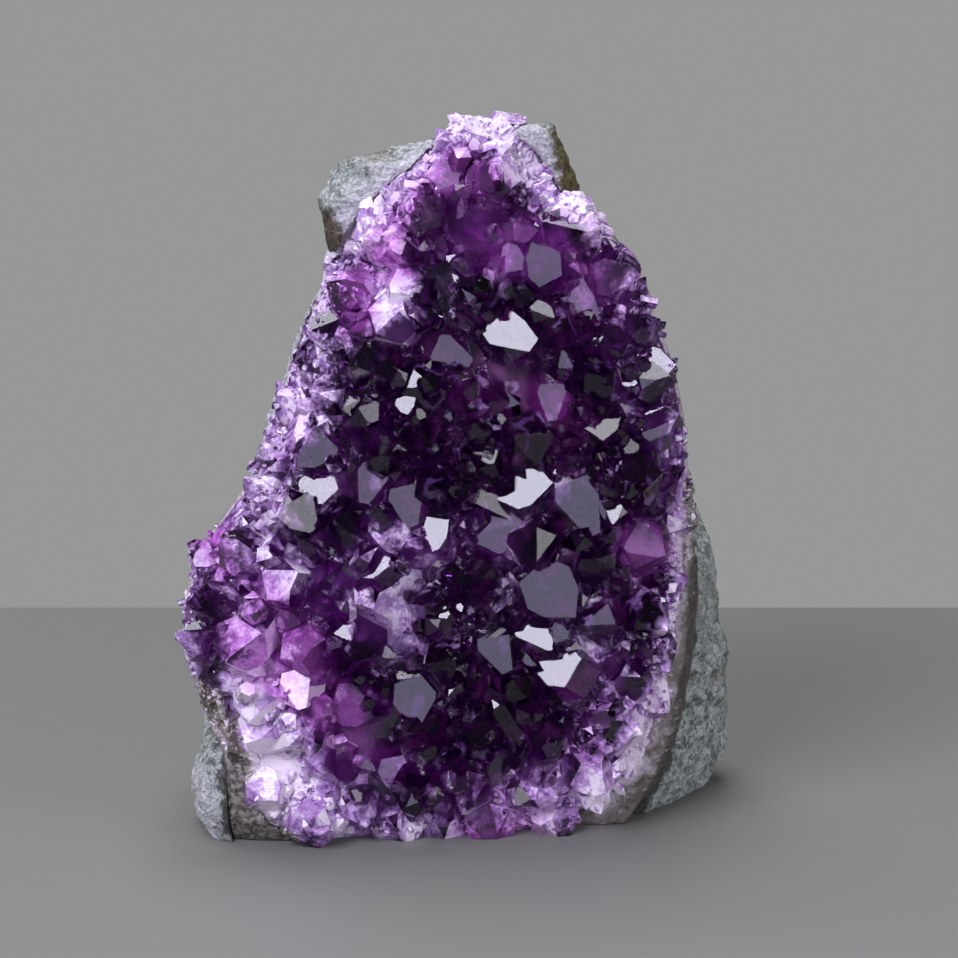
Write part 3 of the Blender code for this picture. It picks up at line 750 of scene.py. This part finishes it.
# Opaque milky quartz that the crystals root in, with a painted glow in its dark heart.
quartz = {"cover": 0.6 * mm, "inset": 1.2 * mm, "backing": 0.3 * mm, "backBlur": 1 * mm}
quartzFinish = {
    "ior": 1.54, "heart": (0.04, 0.03, 0.07), "paintedGlow": (0.70, 0.28, 0.56), "milk": (0.78, 0.72, 0.86),
    "magenta": (0.60, 0.10, 0.62), "cloudSize": 7 * mm, "fineSize": 1.2 * mm, "relief": 0.6 * mm,
}


def makeQuartz(grid):
    mask = (grid["rim"] > quartz["inset"]) & grid["inside"]
    back = blurred(grid["back"], grid["inside"], quartz["backBlur"])
    front = np.maximum(grid["root"], np.nan_to_num(grid["front"]) + quartz["cover"])
    front = np.minimum(front, grid["back"] - 2 * quartz["backing"])
    back = np.maximum(np.minimum(back, grid["back"]) - quartz["backing"], front + quartz["backing"])
    piece = newPiece("milky_quartz", slabMesh("milky_quartz", grid, front, back, mask))
    markRegions(piece.data, grid)
    return piece


def quartzMaterial():
    made, net = newMaterial("milky quartz")
    look = quartzFinish
    place = net.place()
    cloud, fine = net.noise(place, look["cloudSize"], 3.0), net.noise(place, look["fineSize"], 3.0)
    milk = net.attribute("milk") * 1.2 + net.ramp(net.attribute("rim") + cloud * 8, 12, 3, 0.0, 0.8)
    # painted glow: pink patches on the dark heart stand in for light glowing inside the crystals
    paintedGlow = net.ramp(cloud, 0.45, 0.7) * 0.5 + net.region("ember", fine, 0.5, 0.2, 0.9) * 0.6
    colour = net.blend(paintedGlow, look["heart"], look["paintedGlow"])
    colour = net.blend(net.ramp(milk + (fine - 0.5) * 0.4, 0.1, 0.9), colour, look["milk"])
    colour = net.blend(net.region("magenta", cloud, 0.8, 0.15, 0.8) * 0.8, colour, look["magenta"])
    surface = net.node("ShaderNodeBsdfPrincipled", {}, {
        "Base Color": colour, "Roughness": net.ramp(fine, 0.3, 0.7, 0.35, 0.6), "IOR": look["ior"],
        "Normal": net.bump(fine, 0.5, look["relief"]),
    })
    net.finish(surface)
    return made


# Host rock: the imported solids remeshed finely, then weathered.
basalt = {
    "Voxel": 0.85 * mm, "Lump Size": 9 * mm, "Lump Height": 1.8 * mm, "Grain Size": 2.6 * mm,
    "Grain Height": 0.9 * mm, "Pit Size": 6.0 * mm, "Pit Depth": 0.8 * mm,
}
chalcedony = {
    "Voxel": 0.6 * mm, "Lump Size": 5 * mm, "Lump Height": 0.35 * mm, "Grain Size": 1.2 * mm,
    "Grain Height": 0.15 * mm, "Pit Size": 3.0 * mm, "Pit Depth": 0.15 * mm,
}
weathered = {"fromJoint": (0.6, 3.0), "fromBase": (0.3, 2.0), "pitEdge": (0.05, 0.4)}  # the first two in mm


def weatherTree():
    sizes = ["Lump Size", "Lump Height", "Grain Size", "Grain Height", "Pit Size", "Pit Depth"]
    tree, net, given = newTree("weather rock", {"Material": "Material", **dict.fromkeys(sizes, "Float")})
    place = net.node("GeometryNodeInputPosition")
    free = net.node("GeometryNodeInputNamedAttribute", {"data_type": "FLOAT"}, {"Name": "free"})

    def wave(kind, name, sockets):
        return net.node(kind, {}, {"Vector": place, "Scale": 1.0 / given[name], **sockets})

    lump = wave("ShaderNodeTexNoise", "Lump Size", {"Detail": 4.0}) - 0.5
    grain = wave("ShaderNodeTexNoise", "Grain Size", {"Detail": 2.0}) - 0.5
    pit = net.ramp(wave("ShaderNodeTexVoronoi", "Pit Size", {}), *weathered["pitEdge"], -1.0, 0.0)
    height = lump * given["Lump Height"] * 2 + grain * given["Grain Height"] * 2 + pit * given["Pit Depth"]
    normal = net.node("GeometryNodeInputNormal")
    offset = net.node("ShaderNodeVectorMath", {"operation": "SCALE"}, {0: normal, "Scale": height * free})
    moved = net.node("GeometryNodeSetPosition", {}, {"Geometry": given["Geometry"], "Offset": offset})
    painted = net.node("GeometryNodeSetMaterial", {}, {"Geometry": moved, "Material": given["Material"]})
    net.node("NodeGroupOutput", {}, {0: painted})
    return tree


# Where the chalcedony lip stands thicker: strokes as for the regions, whose strength is the thickness in mm.
swell = {"swell": [
    (44, 34, 40, 14, 7, 0.7), (36, 8, 26, 1, 7, 0.9), (46, 60, 44, 40, 5, 0.9), (-46, 26, -42, 2, 6, 0.6),
    (-26, 128, -4, 148, 5, 2.2), (14, 152, 24, 137, 4, 1.6),
]}


def makeRock(name, node, sizes, tree, material, neighbour):
    piece = newPiece(name, copyOfNode(node))
    remeshPiece(piece, sizes["Voxel"])
    points = pointsOf(piece.data)
    if node == "chalcedony_band":
        markStrokes(piece.data, swell)
        thicker = readValue(piece.data, "swell")
        points += normalsOf(piece.data) * (thicker * mm)[:, None] * (1, 1, 0)
        setPoints(piece.data, points)
    gaps = [distanceTo(points, other) for other in ("amethyst_crust", neighbour)]
    free = smooth(np.minimum(*gaps), *weathered["fromJoint"])
    storeValue(piece.data, "free", free * smooth(points[:, 2] / mm, *weathered["fromBase"]))
    storeValue(piece.data, "toCrust", gaps[0])
    storeValue(piece.data, "toRock", gaps[1])
    runTree(piece, tree, {"Material": material, **sizes})
    markStrokes(piece.data, rockRegions)
    setPoints(piece.data, pointsOf(piece.data))
    return piece


# Grey-green rock with dark and pale flecks, and painted shade in its joint with the chalcedony. Two colours
# are the ends of a grain.
basaltFinish = {
    "stone": ((0.07, 0.084, 0.072), (0.64, 0.72, 0.65)), "cloud": (0.40, 0.45, 0.42),
    "darkFleck": (0.05, 0.06, 0.052), "paleFleck": (0.72, 0.77, 0.74), "stain": (0.17, 0.13, 0.09),
    "seam": (0.03, 0.028, 0.022), "dark": (0.03, 0.032, 0.026),
    "pale": ((0.36, 0.39, 0.38), (0.74, 0.75, 0.75)), "covered": ((0.50, 0.46, 0.52), (0.80, 0.77, 0.84)),
    "rust": ((0.04, 0.03, 0.018), (0.14, 0.11, 0.07)), "olive": ((0.05, 0.042, 0.012), (0.18, 0.155, 0.055)),
    "cloudSize": 14 * mm, "stainSize": 12 * mm, "patchSize": 3.0 * mm, "fineSize": 2.4 * mm,
    "grainSize": 0.9 * mm, "relief": 0.6 * mm,
}


def basaltMaterial():
    made, net = newMaterial("basalt")
    look = basaltFinish
    place = net.place()
    cloud = net.noise(place, look["cloudSize"], 4.0)
    fine = net.ramp(net.noise(place, look["fineSize"], 4.0, 0.7), 0.33, 0.67)
    grain = net.ramp(net.noise(place, look["grainSize"], 3.0, 0.7), 0.33, 0.67)
    patch = net.noise(place, look["patchSize"], 6.0, 0.8)
    stone = net.blend(net.ramp(patch, 0.36, 0.64), *look["stone"])
    stone = net.blend(net.ramp(cloud, 0.42, 0.62) * 0.4, stone, look["cloud"])
    fleck = grain * 0.6 + fine * 0.6
    stone = net.blend(net.ramp(fleck, 0.42, 0.2) * 0.6, stone, look["darkFleck"])
    stone = net.blend(net.ramp(fleck, 0.72, 0.98) * 0.8, stone, look["paleFleck"])
    stained = net.ramp(net.noise(place, look["stainSize"], 3.0), 0.56, 0.7)
    stone = net.blend(stained * 0.5, stone, look["stain"])
    pale = net.attribute("pale") * 0.8 + net.ramp(net.attribute("toCrust"), 7, 2, 0.0, 0.5)
    pale = net.ramp(pale + (fine - 0.5) * 0.7 + (patch - 0.5) * 2, 0.35, 1.0)
    stone = net.blend(pale, stone, net.blend(grain, *look["pale"]))
    covered = net.region("covered", grain, 0.5, 0.2, 0.7)
    # painted shade in the joint: darker near the chalcedony and along the drawn line, except where crystals
    # cover it
    drawn = net.region("seam", fine, 0.5, 0.3, 0.8) * net.ramp(net.attribute("toRock"), 12, 7)
    seam = (net.region("toRock", fine, 2, 2.4, 0.9) + drawn) * (1.0 - covered)
    stone = net.blend(seam * 0.85, stone, look["seam"])
    # dark patches, and painted shade on the spur's under-face
    stone = net.blend(net.region("dark", fine, 0.5, 0.3, 0.8) * 0.3, stone, look["dark"])
    stone = net.blend(covered * 0.8, stone, net.blend(grain, *look["covered"]))
    stone = net.blend(net.region("rust", fine, 0.4, 0.3, 0.8), stone, net.blend(grain, *look["rust"]))
    olive = net.ramp(net.attribute("olive") + (fine - 0.5) * 0.5 + (patch - 0.5) * 1.5, 0.25, 0.8)
    stone = net.blend(olive, stone, net.blend(grain, *look["olive"]))
    surface = net.node("ShaderNodeBsdfPrincipled", {}, {
        "Base Color": stone, "Roughness": net.ramp(grain, 0, 1, 0.45, 0.85),
        "Normal": net.bump(grain * 0.5 + fine + patch * 4, 0.9, look["relief"]),
    })
    net.finish(surface)
    return made


# Brown, glossy and faintly banded, with a pale fringe where crystals root in it and painted shade in its
# joint with the basalt.
chalcedonyFinish = {
    "ior": 1.54, "bands": ((0.066, 0.05, 0.04), (0.165, 0.14, 0.125)), "moss": (0.09, 0.085, 0.05),
    "fleck": (0.42, 0.385, 0.37), "fringe": (0.62, 0.56, 0.60), "seam": (0.03, 0.025, 0.02),
    "pit": (0.045, 0.035, 0.028), "dark": ((0.028, 0.024, 0.018), (0.24, 0.22, 0.20)),
    "covered": ((0.50, 0.44, 0.54), (0.82, 0.77, 0.86)), "bandScale": (0.4, 2.2, 0.4), "bandSize": 2.6 * mm,
    "cloudSize": 8 * mm, "fineSize": 1.5 * mm, "gritSize": 1.1 * mm, "relief": 0.3 * mm,
}


def chalcedonyMaterial():
    made, net = newMaterial("chalcedony")
    look = chalcedonyFinish
    place = net.place()
    cloud, fine = net.noise(place, look["cloudSize"], 4.0), net.noise(place, look["fineSize"], 3.0)
    bands = net.noise(net.stretched(place, look["bandScale"]), look["bandSize"], 2.0)
    grit = net.ramp(net.noise(place, look["gritSize"], 3.0, 0.7), 0.42, 0.6)
    tone = net.blend(net.ramp(bands, 0.35, 0.65), *look["bands"])
    tone = net.blend(net.ramp(cloud, 0.5, 0.7) * 0.7, tone, look["moss"])
    tone = net.blend(net.ramp(fine, 0.56, 0.72) * 0.6, tone, look["fleck"])
    # dark patches, and painted shade on the spur's under-face
    dark = net.region("dark", fine, 0.6, 0.2, 0.7)
    covered = net.region("covered", fine, 0.6, 0.2, 0.7)
    fringe = net.ramp(net.attribute("toCrust") + (fine - 0.5) * 5 + (cloud - 0.5) * 6, 1.9, 0.3)
    tone = net.blend(fringe * 0.55 * (1.0 - dark), tone, look["fringe"])
    # painted shade in the joint: darker near the basalt and along the drawn line
    seam = net.region("toRock", fine, 2.5, 2.8, 1.0) + net.region("seam", fine, 0.5, 0.3, 0.8)
    tone = net.blend(seam * (1.0 - covered) * 0.9, tone, look["seam"])
    tone = net.blend(net.ramp(fine, 0.44, 0.3) * 0.7, tone, look["pit"])
    tone = net.blend(dark * 0.8, tone, net.blend(grit, *look["dark"]))
    tone = net.blend(covered * 0.85, tone, net.blend(fine, *look["covered"]))
    surface = net.node("ShaderNodeBsdfPrincipled", {}, {
        "Base Color": tone, "Roughness": net.ramp(fine, 0.3, 0.7, 0.22, 0.45), "IOR": look["ior"],
        "Coat Weight": net.ramp(cloud, 0.3, 0.7, 0.1, 0.5), "Normal": net.bump(fine, 0.25, look["relief"]),
    })
    net.finish(surface)
    return made


# A pale floor that ends just behind the stone, a grey surround and four soft boxes.
studio = {
    "target": (0.00295, -0.020, 0.0746), "elevation": 14.0, "distance": 0.8, "lens": 145.7, "sensor": 36.0,
    "floorSide": 2, "floorBack": 0.145, "floorTone": 0.16, "floorTint": (1.02, 0.90),
    "floorPatches": 0.35, "floorMottle": 0.04, "floorRoughness": 0.6, "surround": 0.31, "ambient": 0.06,
    "lamps": {  # direction from the stone, distance, size, radiance, colour
        "key softbox": ((-0.45, -0.65, 0.60), 1.2, 0.62, 13.0, (0.95, 0.93, 1.13)),
        "front softbox": ((0.30, -0.95, 0.14), 1.4, 0.70, 2.4, (0.88, 0.83, 1.22)),
        "side softbox": ((0.80, -0.50, 0.35), 1.2, 0.70, 3.8, (0.98, 0.96, 1.06)),
        "top softbox": ((-0.10, 0.25, 1.0), 1.1, 0.80, 6.0, (0.97, 0.96, 1.05)),
    },
}


def layFloor():
    side, back = studio["floorSide"], studio["floorBack"]
    floor = newPiece("floor", bmesh.new())
    corners = [(-side, -side, 0), (side, -side, 0), (side, back, 0), (-side, back, 0)]
    floor.data.from_pydata(corners, [], [(0, 1, 2, 3)])
    made, net = newMaterial("floor paint")
    tone, spread = studio["floorTone"], studio["floorMottle"]
    patches = net.noise(net.place(), studio["floorPatches"], 2.0)
    grain = net.ramp(patches, 0.3, 0.7, tone * (1 - spread), tone * (1 + spread))
    green, blue = studio["floorTint"]
    colour = net.node("ShaderNodeCombineColor", {}, {0: grain, 1: grain * green, 2: grain * blue})
    sockets = {"Base Color": colour, "Roughness": studio["floorRoughness"]}
    net.finish(net.node("ShaderNodeBsdfPrincipled", {}, sockets))
    floor.data.materials.append(made)


def paintSurround():  # the camera sees it paler than it lights
    world = bpy.data.worlds.new("studio")
    bpy.context.scene.world = world
    world.use_nodes = True
    net = Net(world.node_tree)
    seen = net.node("ShaderNodeLightPath", out="Is Camera Ray")
    level = net.ramp(seen, 0, 1, studio["ambient"], studio["surround"], "LINEAR")
    surround = net.node("ShaderNodeBackground", {}, {"Color": (1, 1, 1, 1), "Strength": level})
    net.node("ShaderNodeOutputWorld", {}, {"Surface": surround})


def aimAtStone(name, data, away, distance):
    holder = bpy.data.objects.new(name, data)
    bpy.context.scene.collection.objects.link(holder)
    holder.location = Vector(studio["target"]) + away * distance
    holder.rotation_euler = away.to_track_quat("Z", "Y").to_euler()
    return holder


def setLamps():
    for name, (direction, distance, size, radiance, colour) in studio["lamps"].items():
        lamp = bpy.data.lights.new(name, "AREA")
        lamp.size, lamp.energy, lamp.color = size, radiance * math.pi * size * size, colour
        aimAtStone(name, lamp, Vector(direction).normalized(), distance)


def setCamera():
    lens = bpy.data.cameras.new("camera")
    lens.lens, lens.sensor_width = studio["lens"], studio["sensor"]
    tilt = math.radians(studio["elevation"])
    away = Vector((0, -math.cos(tilt), math.sin(tilt)))
    bpy.context.scene.camera = aimAtStone("camera", lens, away, studio["distance"])
    bpy.context.scene.view_settings.view_transform = "Standard"


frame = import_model()
layFloor()
paintSurround()
setLamps()
setCamera()
print("studio set")

crustGrid = surveyCrust()
print("crust surveyed")
amethystPaint, pointPaint = crystalMaterial("amethyst"), crystalMaterial("amethyst points", small=True)
crystals, druse, rimDruse = makeCrystals(crustGrid, amethystPaint, pointPaint)
dress(crystals, amethystPaint, "amethyst", "amethyst_crust")
dress(druse, pointPaint, "amethyst")
dress(rimDruse, pointPaint, "amethyst")
dress(makeQuartz(crustGrid), quartzMaterial(), "amethyst")

weather = weatherTree()
basaltPaint, chalcedonyPaint = basaltMaterial(), chalcedonyMaterial()
rock = makeRock("basalt_host", "basalt_matrix", basalt, weather, basaltPaint, "chalcedony_band")
dress(rock, basaltPaint, "basalt", "basalt_matrix")
band = makeRock("chalcedony_rim", "chalcedony_band", chalcedony, weather, chalcedonyPaint, "basalt_matrix")
dress(band, chalcedonyPaint, "chalcedony", "chalcedony_band")
